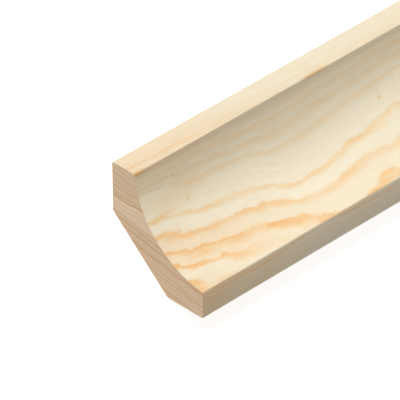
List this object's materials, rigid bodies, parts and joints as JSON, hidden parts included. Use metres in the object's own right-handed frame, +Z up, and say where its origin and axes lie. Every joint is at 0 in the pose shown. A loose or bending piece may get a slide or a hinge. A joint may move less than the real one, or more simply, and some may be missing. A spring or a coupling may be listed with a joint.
{
  "type": "scotia moulding",
  "caption": "Straight length of planed pine scotia moulding: hollow front face between two square edges, bevelled back, for covering the joint between a wall and a floor.",
  "frame": {"origin": "middle of the underside of the bounding box, with the moulding lying on its bevelled back", "axes": "+X runs along the moulding away from the end that is nearest in the picture, +Z is up and out of the hollow, +Y is towards the edge that goes against the wall"},
  "size_m": [2.4, 0.0392, 0.0143],
  "materials": {
    "pine": "planed and lightly sanded, unfinished"
  },
  "bodies": {
    "root": {"scotia_moulding": "pine"}
  },
  "joints": []
}
